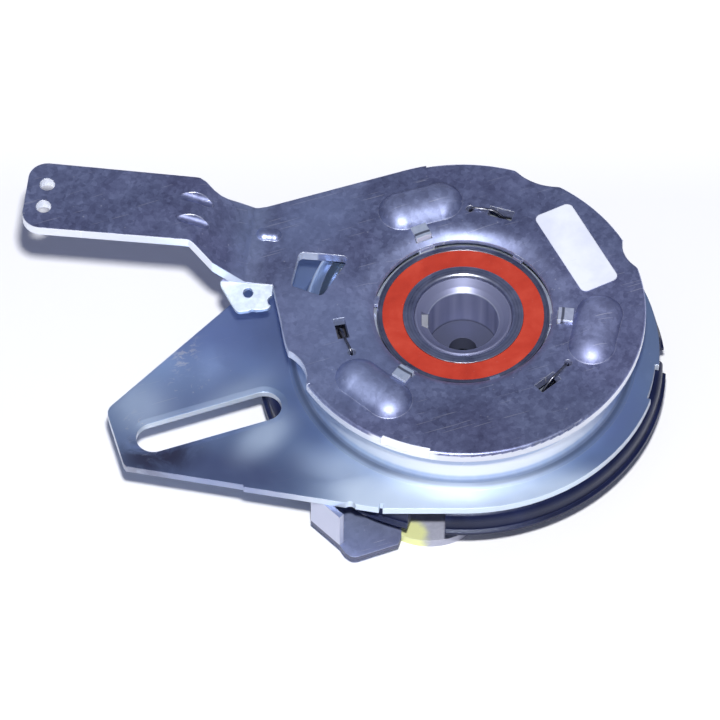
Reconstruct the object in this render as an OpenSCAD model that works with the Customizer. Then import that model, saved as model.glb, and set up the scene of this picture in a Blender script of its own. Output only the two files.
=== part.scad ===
// Blade clutch for a walk-behind mower, in millimetres.
// The crankshaft enters from above. The origin is the mouth of the hub's bore, +Z is up,
// and the slotted torque arm points along -X.

/* [Crankshaft hub] */
// Diameter of the crankshaft bore
bore_d = 25.4; // [24:0.1:26.5]
// Depth of the bore down to the web
bore_depth = 16.5; // [14:0.5:19]
// Thickness of the web that the crank bolt clamps
web_t = 6.8; // [5:0.2:8]
// Diameter of the crank bolt's hole
bolt_hole_d = 10; // [8:0.5:12]
// Diameter of the recess for the bolt's head
bolt_recess_d = 24; // [22:0.5:25]
// Width of the keyway
key_w = 6.35; // [4:0.05:8]
// Depth of the keyway beyond the bore's wall
key_h = 2.2; // [1.5:0.1:3]
// Angle of the keyway
key_angle = 161; // [150:1:190]
// Chamfer at the bore's mouth
bore_chamfer = 0.3; // [0.2:0.1:0.6]
// Depth of the hub's end below the top bearing's face
hub_recess = 4; // [3:0.1:5]
// Diameter of the hub's shoulder under the top bearing
shoulder_d = 41; // [39:0.5:42]

/* [Top bearing] */
// Bore of the top bearing
top_id = 35; // [34.5:0.1:36]
// Outer diameter of the top bearing
top_od = 62; // [61:0.1:63]
// Width of the top bearing
top_w = 14; // [13:0.5:15]
// Share of the top bearing's section that its balls take
top_ball_share = 0.5926; // [0.55:0.005:0.62]
// Number of its balls
top_ball_count = 11; // [9:1:12]

/* [Lower bearing] */
// Bore of the lower bearing
low_id = 30; // [29.5:0.1:31]
// Outer diameter of the lower bearing
low_od = 47; // [46:0.1:48]
// Width of the lower bearing
low_w = 9; // [8.5:0.1:10]
// Share of the lower bearing's section that its balls take
low_ball_share = 0.5882; // [0.55:0.005:0.62]
// Number of its balls
low_ball_count = 13; // [11:1:15]

/* [Lever plate] */
// Thickness of the lever plate's sheet
lever_t = 4; // [3.5:0.1:4.5]
// Radius of the lever plate's rim
lever_r = 65.5; // [64:0.5:67]
// Gap between the lever plate's hole and the bearing
lever_hole_gap = 1.1; // [0.6:0.1:1.4]
// Height that the arm's end stands above the plate
arm_rise = 16; // [10:0.5:20]
// Direction of the arm
arm_angle = 153.7; // [146:0.1:158]
// Distance of the arm's centre line from the axis
arm_offset = 20.8; // [18:0.1:24]
// Width of the arm
arm_w = 28.4; // [24:0.2:30]
// Distance from the axis to the arm's tip
arm_reach = 160.8; // [150:0.2:165]
// Distance from the axis to the bend at the plate
bend_low = 79; // [76:0.5:82]
// Distance from the axis to the bend at the arm
bend_high = 100; // [96:0.5:104]
// Diameter of the cable holes
cable_hole_d = 5.5; // [4:0.1:6.5]
// Distance between the cable holes
cable_pitch = 10; // [9:0.1:12]
// Diameter of the hole in the folded tab
tab_hole_d = 3.6; // [3:0.1:4.5]

/* [Ball ramps] */
// Number of ramps, springs and fingers
ramp_count = 3; // [3:1:3]
// Radius of the circle on which the ramp balls lie
ramp_r = 47.2; // [46.8:0.1:47.4]
// Diameter of the ramp balls
ramp_ball_d = 10; // [9.5:0.1:10.4]
// Angle of the first ramp's deep end
ramp_angle = 96.8; // [96:0.1:98]
// Height that the domes stand above the plate
dome_h = 4; // [3.6:0.1:4.6]
// Width of a dome where it leaves the plate
dome_w = 16.8; // [16:0.1:17.6]
// Length of a dome where it leaves the plate
dome_l = 31; // [29:0.5:33]
// Distance from the axis to a dome's centre
dome_at = 48.3; // [47.8:0.1:48.8]
// Angle of the first dome's centre
dome_angle = 88.8; // [88:0.1:90]
// Angle that the lever turns
lever_turn = 24; // [20:1:25]
// Height that the lever plate is lifted
lift = 1.7; // [1.2:0.1:1.8]

/* [Torque plate] */
// Thickness of the torque plate's sheet
torque_t = 3; // [2.6:0.1:3.2]
// Radius of the torque plate's rim
torque_r = 71; // [70:0.5:73]
// Radius of the drawn cup at its foot
cup_foot_r = 61.4; // [61:0.1:62]
// Radius of the drawn cup at its shoulder
cup_top_r = 57.8; // [57.4:0.1:58.6]
// Gap between the lever plate and the cup
plate_gap = 1.1; // [0.8:0.1:1.4]
// Distance from the axis to the torque arm's end
torque_reach = 130.8; // [126:0.2:136]
// Width of the torque arm's end
torque_end_w = 31; // [26:0.5:34]
// Distance from the axis to the torque arm's straight edges
torque_edge_at = 75.2; // [74:0.1:76]
// Distance from the axis to the slot's far end
slot_far = 124; // [118:1:125]
// Distance from the axis to the slot's near end
slot_near = 69.5; // [68:0.5:74]
// Width of the slot
slot_w = 12.6; // [11:0.1:14]

/* [Clutch and brake] */
// Thickness of the driven disc
driven_t = 3; // [2.6:0.1:3.4]
// Radius of the driven disc
driven_r = 54; // [53:0.5:54.5]
// Gap between the driven disc and the lining when released
clutch_gap = 0.5; // [0.4:0.1:0.8]
// Thickness of the drive lining
lining_t = 3.5; // [3:0.1:4]
// Inner radius of the drive lining
lining_in_r = 29; // [28:0.5:31]
// Thickness of the drive disc
drive_t = 3; // [2.6:0.1:3.4]
// Radius of the drive disc
drive_r = 40; // [38:0.5:40.5]
// Thickness of the brake pads
pad_t = 3.8; // [3.4:0.1:4.4]
// Length of a brake pad, as an angle
pad_angle = 48; // [40:1:54]
// Thickness of the brake plate
brake_t = 2.5; // [2:0.1:3]
// Outer radius of the brake plate
brake_r = 65; // [64:0.5:66]
// Height of the wave spring
wave_h = 3; // [2.6:0.1:3.4]

/* [Blade carrier] */
// Thickness of the carrier's sheet
carrier_t = 3.5; // [3:0.1:4]
// Inner radius of the carrier's drum
drum_r = 41.5; // [41:0.1:42]
// Thickness of the drum's wall
drum_t = 3; // [2.6:0.1:3.2]
// Radius of a blade lobe
lobe_r = 22; // [20:0.5:23]
// Distance from the axis to a lobe's centre
lobe_at = 47.3; // [46:0.1:48]
// Angle of the first lobe
lobe_angle = 235.7; // [232:0.1:238]
// Distance from the axis to a blade bolt hole
blade_hole_at = 53; // [51:0.5:56]
// Diameter of a blade bolt hole
blade_hole_d = 8.5; // [8:0.1:10]
// Length of the sleeve between drive disc and lower bearing
spacer_len = 7.8; // [7:0.1:9]

/* [Guard and bracket] */
// Height of the guard
guard_h = 9.7; // [8:0.1:10.5]
// Outer radius of the guard
guard_r = 73.5; // [72.5:0.1:75]
// Thickness of the side bracket's sheet
bracket_t = 2; // [1.6:0.1:2.4]

/* [Springs and label] */
// Thickness of the return springs' wire
spring_wire = 1; // [0.8:0.05:1.1]
// Diameter of the return springs' coils
spring_d = 5.6; // [5:0.1:6]
// Length of the label
label_l = 38.4; // [32:0.1:39]
// Width of the label
label_w = 14.8; // [12:0.1:15]
// Distance from the lever plate's rim to the label's centre
label_in = 16.5; // [16:0.1:17.5]

/* [Hidden] */
$fn = 96;

// Colours
zinc = [0.62, 0.66, 0.74];
zinc_dark = [0.50, 0.52, 0.60];
bright = [0.80, 0.82, 0.85];
seal_red = [0.78, 0.27, 0.19];
black = [0.07, 0.07, 0.09];
friction = [0.28, 0.25, 0.22];
spring_steel = [0.45, 0.46, 0.48];
paper = [0.93, 0.93, 0.95];

// Clearances
eps = 0.01;
over = 1;
fit = 0.03;
run = 0.1;
seat_gap = 0.2;
ball_fit = 0.05;
pocket_fit = 0.15;
ramp_fit = 0.25;
safe = 1.1;

// Heights, from the top down
top_brg_z = hub_recess;
top_ball_d = top_ball_share * (top_od - top_id) / 2;
low_ball_d = low_ball_share * (low_od - low_id) / 2;
top_brg_bot = top_brg_z - top_w;
lever_bot = top_brg_z + seat_gap;
lever_top = lever_bot + lever_t;
cup_top_z = lever_bot - plate_gap;
dome_wall = 3;
ramp_ball_z = lever_top + dome_h - dome_wall - ramp_ball_d / 2;
track_depth = 0.9;
track_z = ramp_ball_z - ramp_ball_d / 2 - ball_fit + track_depth;
track_bot = track_z - torque_t;
cup_sheet = 1.5;
lip_bot = top_brg_bot - cup_sheet - fit;
driven_top = lip_bot - safe;
driven_bot = driven_top - driven_t;
pad_top = driven_bot - seat_gap;
flange_bot = pad_top - pad_t;
flange_top = flange_bot + torque_t;
lining_top = driven_bot - clutch_gap;
drive_top = lining_top - lining_t;
drive_bot = drive_top - drive_t;
low_brg_z = drive_bot - spacer_len;
low_brg_bot = low_brg_z - low_w;
circlip_t = 1.5;
hub_end = low_brg_bot - circlip_t - 1.2;
carrier_top = low_brg_bot - 1.4;
carrier_bot = carrier_top - carrier_t;
retainer_t = 1.5;
retainer_bot = driven_top + wave_h;
retainer_top = retainer_bot + retainer_t;
tip_z = retainer_top + 0.3;
bracket_bot = carrier_top + lift + 0.7;

// Radii
cup_in_r = top_od / 2 + fit;
cup_out_r = cup_in_r + cup_sheet;
lever_hole_r = top_od / 2 + lever_hole_gap;
lip_w = 6.4;
lip_drop = 2.2;
retainer_in_r = cup_out_r + 2.5;
finger_t = 1.2;
finger_half = 2.9;
finger_gap = 0.25;
finger_r = cup_out_r + 1.6;
track_hole_r = cup_out_r + 2.4;
brake_in_r = drum_r + drum_t + 1.5;
step_in_r = ramp_r + 3.7;
step_out_r = ramp_r + 5.5;
drive_seat_r = shoulder_d / 2 - 3;
boss_in_r = low_od / 2 + fit;
boss_r = boss_in_r + 4;
circlip_h = 2.6;
groove_deep = 1.1;

// Angles
third = 360 / ramp_count;
roll = lever_turn / 2;
finger_angle = 94.5;
nib_angle = 31.3;
hook_wide_angle = 52.5;
hook_small_angle = 67;
fingers = 6;
finger_w = 20;
anchor_angle = 5.2;
window_from = 12;
window_to = hook_wide_angle + lever_turn + 2;
guard_spans = [[245.2, 338.5], [347.5, 461.5], [115.5, 234.5]];
label_angle = 13.9;
bracket_angle = 214;

// Return springs
spring_r = 44.7;
hook_hole_d = 2.8;
spring_z = (track_z + lever_bot) / 2 - 1.6;

// Path of the ramp balls under the lever plate
ramp_run = 2 * ramp_r * sin(roll / 2);
ramp_slope = atan2(lift, ramp_run);
ramp_chord_r = ramp_r * (1 + cos(roll / 2)) / 2;

// Torque arm: each straight edge's normal, its distance from the axis and the turn at its shoulder
torque_edges = [[117.3, torque_edge_at - 0.3, -9], [239.5, torque_edge_at, 11]];
// Cuts in the lower edge, measured along it from where it comes closest to the axis
edge_relief_at = 26.5;
edge_slit_at = 15.6;
edge_step_at = 65.5;
edge_step_d = 0.7;

// Lever arm, measured along it and across it from the axis
arm_in = -arm_offset + arm_w / 2;
arm_out = -arm_offset - arm_w / 2;
tip_r = 7;
tip_flare = 1;
bend_slope = atan2(arm_rise, bend_high - bend_low);
tab_tilt = 20;
tab_line = -2;
tab_from = 69;
tab_t = 2.6;
tab_hole_in = 3.7;
window_points = [[-46.4, 40.6], [-33.9, 34.7], [-46, 24.4], [-52.6, 30.4]];
window_corner = 2;
waist = 2.8;

// Rim of the lever plate: angle, radius and depth of each scallop, and a step at the front
rim_scallops = [[45.5, 20, 3.2], [2.5, 12, 2.6], [184.5, 14, 3]];
rim_step = [231.5, 16, 1.8];
rim_round = 1.3;

// Helpers

function polar(r, a) = [r * cos(a), r * sin(a)];
function arc_points(c, r, a0, a1, n) = [for (i = [0:n]) c + polar(r, a0 + (a1 - a0) * i / n)];

// A ring of rectangular section
module ring(r_in, r_out, z0, z1) {
    difference() {
        translate([0, 0, z0]) cylinder(r = r_out, h = z1 - z0);
        translate([0, 0, z0 - over]) cylinder(r = r_in, h = z1 - z0 + 2 * over);
    }
}

// A part of a ring, centred on an angle
module arc_block(r_in, r_out, z0, z1, at, wide) {
    rotate([0, 0, at - wide / 2])
        rotate_extrude(angle = wide)
            translate([r_in, z0]) square([r_out - r_in, z1 - z0]);
}

// A slot with round ends between two radii on the X axis
module radial_slot(r0, r1, w, z0, z1) {
    translate([0, 0, z0]) {
        translate([r0 + w / 2, 0, 0]) cylinder(d = w, h = z1 - z0);
        translate([r1 - w / 2, 0, 0]) cylinder(d = w, h = z1 - z0);
        translate([r0 + w / 2, -w / 2, 0]) cube([r1 - r0 - w, w, z1 - z0]);
    }
}

// A flat outline with rounded corners
module rounded_outline(points, r) {
    hull() for (p = points) translate(p) circle(r = r, $fn = 32);
}

// A round wire along a list of points
function unit(v) = v / norm(v);
function ahead(p, i) = unit(p[min(i + 1, len(p) - 1)] - p[max(i - 1, 0)]);
function side_from(t, s) = unit(s - t * (s * t));
function sides(p, i, s) = i >= len(p) ? []
    : let (n = side_from(ahead(p, i), s)) concat([n], sides(p, i + 1, n));
module wire(p, r, n, start_side) {
    s = sides(p, 0, start_side);
    rows = len(p);
    points = [for (i = [0:rows - 1]) let (t = ahead(p, i), u = s[i], v = cross(t, u))
        for (k = [0:n - 1]) p[i] + r * (cos(360 * k / n) * u + sin(360 * k / n) * v)];
    skin = [for (i = [0:rows - 2]) for (k = [0:n - 1]) let (a = i * n + k, b = i * n + (k + 1) % n)
        each [[a, a + n, b + n], [a, b + n, b]]];
    caps = [[for (k = [0:n - 1]) k], [for (k = [n - 1:-1:0]) (rows - 1) * n + k]];
    polyhedron(points = points, faces = concat(skin, caps), convexity = 10);
}

// Ball bearing parts, shared by both bearings

function pitch_r(id, od) = (id + od) / 4;
function land_in(id, od, ball) = pitch_r(id, od) - ball * 0.33;
function land_out(id, od, ball) = pitch_r(id, od) + ball * 0.33;
seal_t = 1;
seal_sunk = 0.25;
function seal_out(id, od, ball) = (land_out(id, od, ball) + od / 2) / 2 + 0.1;

module race_groove(id, od, ball, z) {
    translate([0, 0, z])
        rotate_extrude() translate([pitch_r(id, od), 0]) circle(r = ball / 2 + ball_fit);
}

module outer_ring(id, od, w, ball, z_bot) {
    r_seal = seal_out(id, od, ball);
    difference() {
        ring(land_out(id, od, ball), od / 2, z_bot, z_bot + w);
        race_groove(id, od, ball, z_bot + w / 2);
        translate([0, 0, z_bot + w - seal_t - seal_sunk]) cylinder(r = r_seal, h = seal_t + over);
        translate([0, 0, z_bot - over]) cylinder(r = r_seal, h = seal_t + seal_sunk + over);
    }
}

module inner_ring(id, od, w, ball, z_bot, edge_r) {
    difference() {
        ring(id / 2, land_in(id, od, ball), z_bot, z_bot + w);
        race_groove(id, od, ball, z_bot + w / 2);
        // Rounded inner edges at both ends
        for (end = [0, 1])
            translate([0, 0, z_bot + end * w]) mirror([0, 0, end])
                rotate_extrude() difference() {
                    translate([id / 2 - over, -over]) square([edge_r + over, edge_r + over]);
                    translate([id / 2 + edge_r, edge_r]) circle(r = edge_r, $fn = 48);
                }
    }
}

module ball_set(id, od, w, ball, count, z_bot) {
    for (i = [0:count - 1])
        rotate([0, 0, 360 * i / count])
            translate([pitch_r(id, od), 0, z_bot + w / 2]) sphere(d = ball, $fn = 48);
}

module ball_cage(id, od, w, ball, count, z_bot) {
    cage_t = ball * 0.22;
    web = 0.45;
    mid = z_bot + w / 2;
    difference() {
        ring(pitch_r(id, od) - cage_t / 2, pitch_r(id, od) + cage_t / 2,
            mid - ball / 2 - pocket_fit - web, mid + ball / 4);
        for (i = [0:count - 1])
            rotate([0, 0, 360 * i / count])
                translate([pitch_r(id, od) - ball, 0, mid])
                    rotate([0, 90, 0]) cylinder(r = ball / 2 + pocket_fit, h = 2 * ball);
    }
}

module bearing_seal(id, od, ball, z0) {
    ring(land_in(id, od, ball) + run, seal_out(id, od, ball), z0, z0 + seal_t);
}

// Torque plate

// Centre of a corner of radius r between two edges, each given by its normal's angle and its distance
function corner_at(a1, d1, a2, d2, r) =
    let (e1 = d1 - r, e2 = d2 - r, det = sin(a2 - a1))
    [(e1 * sin(a2) - e2 * sin(a1)) / det, (e2 * cos(a1) - e1 * cos(a2)) / det];

module torque_outline() {
    end_r = 5;
    end_lean = 0.75;
    end_skew = 3.4;
    shoulder_r = 3;
    hull() {
        circle(r = torque_r);
        for (side = [-1, 1])
            translate([end_r - torque_reach + side * end_lean, side * (torque_end_w / 2 - end_r) + end_skew])
                circle(r = end_r, $fn = 32);
        for (e = torque_edges)
            translate(corner_at(e[0], e[1], e[0] + e[2], torque_r, shoulder_r))
                circle(r = shoulder_r, $fn = 32);
    }
}

module torque_section() {
    bend_r = 4.5;
    in_bend = bend_r - torque_t;
    foot_r = 2;
    slope_in = torque_t * 0.55;
    polygon(concat(
        [[track_hole_r, track_bot], [track_hole_r, track_z], [step_in_r, track_z], [step_out_r, cup_top_z]],
        arc_points([cup_top_r - bend_r, cup_top_z - bend_r], bend_r, 80, 0, 6),
        [[cup_foot_r - 0.3, flange_top + foot_r], [cup_foot_r + foot_r - 0.3, flange_top],
            [cup_foot_r + foot_r, flange_bot], [cup_foot_r - torque_t, flange_bot]],
        arc_points([cup_top_r - bend_r, cup_top_z - bend_r], in_bend, 0, 70, 3),
        [[step_out_r + 0.3, cup_top_z - torque_t], [step_in_r + slope_in, track_bot]]));
}

// Cuts in the lower edge of the torque arm: a slit, a round relief, and a step
module torque_edge_cuts() {
    slit_w = 1.4;
    slit_deep = 2.2;
    low = flange_bot - over;
    deep = torque_t + 2 * over;
    rotate([0, 0, torque_edges[1][0] - 90]) {
        translate([edge_slit_at - slit_w / 2, torque_edge_at - slit_deep, low])
            cube([slit_w, slit_deep + over, deep]);
        translate([edge_relief_at, torque_edge_at + 1.6, low]) cylinder(r = 2.4, h = deep);
        translate([edge_step_at, torque_edge_at - edge_step_d, low])
            cube([torque_reach, edge_step_d + over, deep]);
    }
}

// Round-ended slot, wider at the top by its rolled edge
module torque_slot() {
    roll_w = 2.2;
    roll_h = 0.5;
    end_r = slot_w / 2;
    top = flange_top + over;
    wide = roll_w * (roll_h + over) / roll_h;
    rotate([0, 0, 180]) {
        radial_slot(slot_near, slot_far, slot_w, flange_bot - over, top);
        for (x = [slot_near + end_r, slot_far - end_r])
            translate([x, 0, flange_top - roll_h])
                cylinder(r1 = end_r, r2 = end_r + wide, h = roll_h + over);
        translate([slot_near + end_r, 0, flange_top - roll_h])
            rotate([90, 0, 90])
                linear_extrude(slot_far - slot_near - slot_w)
                    polygon([[-end_r, 0], [end_r, 0],
                        [end_r + wide, roll_h + over], [-end_r - wide, roll_h + over]]);
    }
}

module torque_plate() {
    margin = 5;
    color(zinc) difference() {
        union() {
            rotate_extrude() torque_section();
            difference() {
                translate([0, 0, flange_bot]) linear_extrude(torque_t) torque_outline();
                translate([0, 0, flange_bot - over]) cylinder(r = cup_foot_r, h = torque_t + 2 * over);
            }
        }
        torque_slot();
        for (i = [0:ramp_count - 1]) rotate([0, 0, third * i]) {
            // Track of the ramp ball
            rotate([0, 0, ramp_angle - margin])
                translate([0, 0, ramp_ball_z])
                    rotate_extrude(angle = roll + 2 * margin)
                        translate([ramp_r, 0]) circle(r = ramp_ball_d / 2 + ball_fit);
            // Window for the return spring
            arc_block(ramp_r - 6.2, ramp_r + 2.6, track_bot - over, track_z + over,
                (window_from + window_to) / 2, window_to - window_from);
            // Hole for the spring's fixed hook
            rotate([0, 0, anchor_angle]) translate([spring_r, 0, track_bot - over])
                cylinder(d = hook_hole_d, h = torque_t + 2 * over);
        }
        // Shallow notch in the rim
        arc_block(torque_r - 1.4, torque_r + over, flange_bot - over, flange_top + over, 328.3, 12.5);
        torque_edge_cuts();
    }
}

// Brake plate, welded under the torque plate's flange
module brake_plate() {
    color(zinc_dark) difference() {
        ring(brake_in_r, brake_r, flange_bot - brake_t, flange_bot);
        for (i = [0:5])
            rotate([0, 0, 30 + 60 * i])
                translate([(driven_r + brake_r) / 2 + 0.5, 0, flange_bot - brake_t - over])
                    cylinder(r = 1.6, h = brake_t + 2 * over);
    }
}

module brake_pads() {
    color(friction)
        for (i = [0:2])
            arc_block(brake_in_r + 0.8, driven_r - 0.6, flange_bot, pad_top, 60 + 120 * i, pad_angle);
}

// Guard in three segments, with a rounded top edge

module guard_section() {
    in_r = brake_r + 0.3;
    bull = 3.4;
    lip = 1.2;
    low = flange_bot - guard_h;
    polygon(concat(
        [[in_r, low], [in_r, flange_bot], [torque_r - 1.5, flange_bot]],
        arc_points([guard_r - lip - bull, flange_bot - bull - 0.1], bull, 80, 0, 7),
        [[guard_r - lip, low + 1.8], [guard_r, low + 1.2], [guard_r, low]]));
}

module guard_segments() {
    color(black)
        for (span = guard_spans)
            rotate([0, 0, span[0]]) rotate_extrude(angle = span[1] - span[0]) guard_section();
}

// Folded ear with an upturned wall, its top edge welded under the flange

module side_bracket() {
    wall_a = [-13.3, -0.4];
    wall_b = [-7.2, -14.1];
    run_angle = atan2(wall_b[1] - wall_a[1], wall_b[0] - wall_a[0]);
    wall_len = norm(wall_b - wall_a);
    color(zinc_dark) translate(concat(polar(torque_r, bracket_angle), [bracket_bot])) {
        linear_extrude(bracket_t)
            difference() {
                polygon(concat([wall_a, wall_b, [-6.5, -17.9]],
                    arc_points([-2.7, -17.7], 3.4, 200, 268, 4),
                    [[12.7, -20.7], [14.9, -17.9], [18.4, -8.3], [7.9, 4.7]]));
                translate([6.9, -3.3]) circle(d = 4);
            }
        translate([wall_a[0], wall_a[1], 0])
            rotate([0, 0, run_angle]) cube([wall_len, bracket_t, flange_bot - bracket_bot]);
    }
}

// Lever plate

function arm_point(u, v) = [u * cos(arm_angle) - v * sin(arm_angle), u * sin(arm_angle) + v * cos(arm_angle)];

// Plan of the whole lever plate
module lever_outline() {
    base_u = bend_low - 3.5;
    base_far = [base_u, arm_out - 1.8];
    base_len = norm(base_far);
    upper_touch = arm_angle + atan2(base_far[1], base_far[0]) - acos(lever_r / base_len);
    lower_touch = 166;
    circle(r = lever_r);
    polygon([[0, 0], polar(lever_r, upper_touch), arm_point(base_far[0], base_far[1]),
        arm_point(bend_high - 15, arm_out + waist * 0.4), arm_point(bend_high - 11, arm_out + waist * 0.9),
        arm_point(bend_high - 8.5, arm_out + waist), arm_point(bend_high - 6, arm_out + waist * 0.8),
        arm_point(bend_high - 3, arm_out + waist * 0.25), arm_point(bend_high, arm_out),
        arm_point(bend_high, arm_in), arm_point(bend_high - 9, tab_line),
        arm_point(tab_from, tab_line), polar(lever_r, lower_touch)]);
    hull() {
        for (v = [arm_out + tip_r, arm_in + tip_flare - tip_r])
            translate(arm_point(arm_reach - tip_r, v)) circle(r = tip_r, $fn = 32);
        polygon([arm_point(bend_high - 1, arm_out), arm_point(bend_high - 1, arm_in),
            arm_point(bend_high + 1, arm_in), arm_point(bend_high + 1, arm_out)]);
    }
}

// Side view of the sheet along the arm, flat up to the first bend
module lever_side() {
    slope = bend_slope;
    r_in = 3;
    r_out = r_in + lever_t;
    low_c = [bend_low - r_in * tan(slope / 2), lever_top + r_in];
    high_c = [bend_high + r_in * tan(slope / 2), lever_bot + arm_rise - r_in];
    start = -lever_r - over;
    polygon(concat(
        [[start, lever_bot]],
        arc_points(low_c, r_out, -90, -90 + slope, 5),
        arc_points(high_c, r_in, 90 + slope, 90, 5),
        [[arm_reach + over, lever_bot + arm_rise], [arm_reach + over, lever_top + arm_rise]],
        arc_points(high_c, r_out, 90, 90 + slope, 5),
        arc_points(low_c, r_in, -90 + slope, -90, 5),
        [[start, lever_top]]));
}

// Round-ended form that follows a ball's path under the lever plate, a little fuller at its deep end
module ramp_capsule(r, length, drop) {
    end_fuller = 0.15;
    rotate([0, 0, ramp_angle])
        translate([2 * ramp_r - ramp_chord_r, 0, ramp_ball_z - drop])
            rotate([0, 0, -roll / 2]) rotate([90 + ramp_slope, 0, 0]) {
                cylinder(r = r, h = length);
                sphere(r = r + end_fuller);
            }
}

// Dome over a ramp: a round-ended form that stands out of the plate
module dome() {
    r = (dome_w * dome_w / 4 + dome_h * dome_h) / (2 * dome_h);
    half = (dome_l - dome_w) / 2;
    end_fuller = 0.1;
    intersection() {
        rotate([0, 0, dome_angle])
            translate([dome_at, 0, lever_top + dome_h - r])
                rotate([90, 0, 0]) {
                    translate([0, 0, -half]) cylinder(r = r, h = 2 * half);
                    for (z = [-half, half]) translate([0, 0, z]) sphere(r = r + end_fuller);
                }
        translate([0, 0, lever_bot + eps]) cylinder(r = lever_r, h = lever_t + dome_h + over);
    }
}

// The bent sheet: its plan cut out of its side view
module lever_sheet() {
    intersection() {
        translate([0, 0, lever_bot - over])
            linear_extrude(lever_t + arm_rise + 2 * over) lever_outline();
        rotate([0, 0, arm_angle])
            rotate([90, 0, 0])
                translate([0, 0, -2 * lever_r]) linear_extrude(4 * lever_r) lever_side();
    }
}

// Stiffening bump beside the lower bend
module bend_bump() {
    r = 3.3;
    half = 1.9;
    rotate([0, 0, arm_angle])
        translate([bend_low - 5.8, -arm_offset - 3.6, lever_top - 1.9])
            rotate([0, 90, 0]) {
                translate([0, 0, -half]) cylinder(r = r, h = 2 * half);
                for (z = [-half, half]) translate([0, 0, z]) sphere(r = r + 0.1);
            }
}

// Nibs that hold the bearing down, and lugs inside the cup's fingers
module lever_nibs() {
    nib_t = 1.6;
    for (i = [0:ramp_count - 1]) {
        arc_block(top_od / 2 - 0.3, lever_hole_r + over, lever_bot, lever_bot + nib_t,
            nib_angle + third * i, 7);
        arc_block(top_od / 2 + 0.4, lever_hole_r + over, lever_bot, lever_bot + nib_t,
            finger_angle + third * i, 9);
    }
}

// Centre hole, the plate dished down to its edge
module lever_hole() {
    dish_r = (lip_w * lip_w + lip_drop * lip_drop) / (2 * lip_drop);
    translate([0, 0, lever_bot - over]) cylinder(r = lever_hole_r, h = lever_t + 2 * over);
    rotate_extrude() difference() {
        translate([lever_hole_r - eps, lever_top - lip_drop]) square([lip_w + eps, lip_drop + eps]);
        translate([lever_hole_r + lip_w, lever_top - dish_r]) circle(r = dish_r, $fn = 180);
    }
}

module lever_holes() {
    for (i = [0:ramp_count - 1]) rotate([0, 0, third * i]) {
        // Slot for the cup's folded finger
        rotate([0, 0, finger_angle])
            translate([finger_r - finger_gap, -finger_half - finger_gap, lever_bot - over])
                cube([finger_t + 2 * finger_gap, 2 * (finger_half + finger_gap), lever_t + 2 * over]);
        // Wide and small hole of the spring's hook
        rotate([0, 0, hook_wide_angle])
            translate([spring_r - 2.1, -4.5, lever_bot - over])
                cube([4.2, 9, lever_t + 2 * over]);
        rotate([0, 0, hook_small_angle])
            translate([spring_r, 0, lever_bot - over])
                cylinder(d = hook_hole_d, h = lever_t + 2 * over);
    }
    // Window
    translate([0, 0, lever_bot - over])
        linear_extrude(lever_t + 2 * over) rounded_outline(window_points, window_corner);
    // Cable holes
    for (side = [-1, 1])
        translate(concat(arm_point(arm_reach - 7.2, tip_flare / 2 - arm_offset + side * cable_pitch / 2),
            [lever_bot + arm_rise - over])) cylinder(d = cable_hole_d, h = lever_t + 2 * over);
}

// Scallops and a step in the rim, and its rounded edge where it stands free
module lever_rim_cuts() {
    for (n = rim_scallops)
        rotate([0, 0, n[0]])
            translate([lever_r + n[1] - n[2], 0, lever_bot - over])
                cylinder(r = n[1], h = lever_t + 2 * over);
    arc_block(lever_r - rim_step[2], lever_r + over, lever_bot + 1.4, lever_top + over,
        rim_step[0], rim_step[1]);
    rotate([0, 0, 192])
        rotate_extrude(angle = 250)
            translate([lever_r - rim_round, lever_top - rim_round]) difference() {
                square([rim_round + over, rim_round + over]);
                circle(r = rim_round, $fn = 40);
            }
}

// Darts across the upper bend
module bend_darts() {
    for (v = [-arm_offset - 5, -arm_offset + 5])
        rotate([0, 0, arm_angle])
            translate([bend_high - 0.4, v, lever_top + arm_rise + 0.5])
                rotate([0, 90 - bend_slope / 2, 0]) translate([0, 0, -7]) cylinder(r = 2.4, h = 14);
}

module lever_plate() {
    color(zinc) difference() {
        union() {
            lever_sheet();
            for (i = [0:ramp_count - 1]) rotate([0, 0, third * i]) dome();
            bend_bump();
        }
        lever_hole();
        for (i = [0:ramp_count - 1]) rotate([0, 0, third * i])
            ramp_capsule(ramp_ball_d / 2 + ramp_fit, ramp_run + 5, 0);
        lever_holes();
        lever_rim_cuts();
        bend_darts();
    }
    color(zinc) lever_nibs();
    // Tab folded down beside the arm
    color(bright) fold_tab();
}

// Tab folded down along a line beside the arm
module fold_tab() {
    corner = 2;
    far = 11.2;
    u1 = bend_low + 9;
    rotate([0, 0, arm_angle])
        translate([0, tab_line, lever_top])
            rotate([-tab_tilt, 0, 0])
                difference() {
                    translate([0, 0, -tab_t - 0.4]) linear_extrude(tab_t) difference() {
                        rounded_outline([[tab_from + corner, 1], [u1 - corner, 1], [u1 - 8, far - corner],
                            [tab_from + corner, far - 4]], corner);
                        translate([tab_from - 0.6, 5.8]) circle(r = 1.9);
                        translate([tab_from + 6, far + 1]) circle(r = 2.4);
                    }
                    translate([bend_low - 1.4, tab_hole_in, -tab_t - over])
                        cylinder(d = tab_hole_d, h = tab_t + 2 * over);
                }
}

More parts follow.
